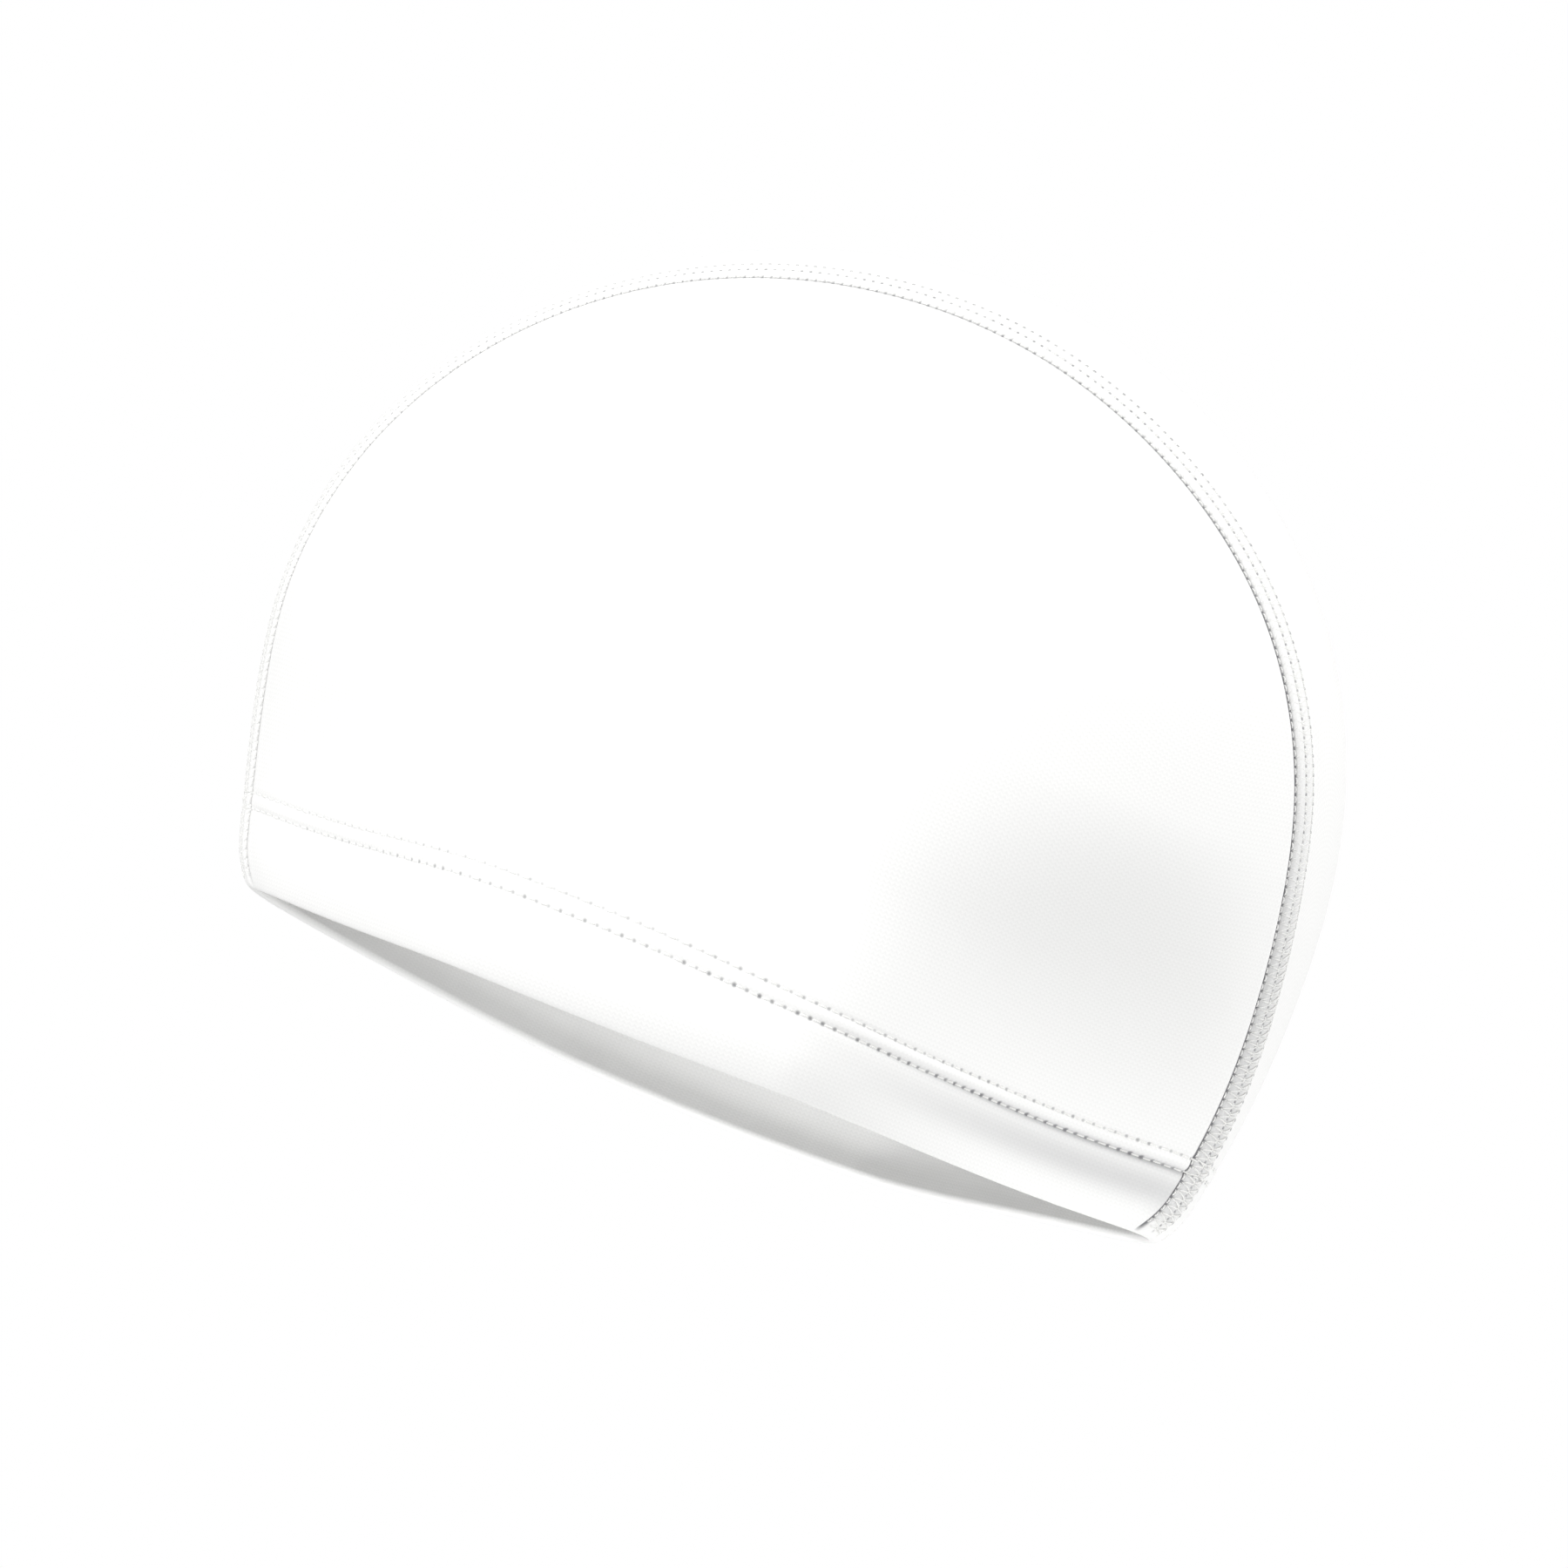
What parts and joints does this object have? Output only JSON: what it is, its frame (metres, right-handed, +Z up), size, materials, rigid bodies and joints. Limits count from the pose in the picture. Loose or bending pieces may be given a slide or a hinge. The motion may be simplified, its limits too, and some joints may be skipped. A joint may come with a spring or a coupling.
{
  "type": "swim cap",
  "caption": "Knitted swim cap in three panels, filled out as when worn, with flat seams from forehead to nape and a turned-up hem.",
  "frame": {"origin": "middle of the head opening, halfway between the forehead edge and the nape edge of the hem", "axes": "+Z up with the wearer's head upright, -Y to the wearer's face, +X to the wearer's left; the opening's plane drops 22 degrees from forehead to nape"},
  "size_m": [0.1572, 0.2221, 0.2006],
  "materials": {
    "side_cloth": "matte",
    "center_cloth": "matte",
    "thread": "matte"
  },
  "bodies": {
    "root": {"left_panel": "side_cloth", "right_panel": "side_cloth", "center_panel": "center_cloth"}
  },
  "joints": []
}
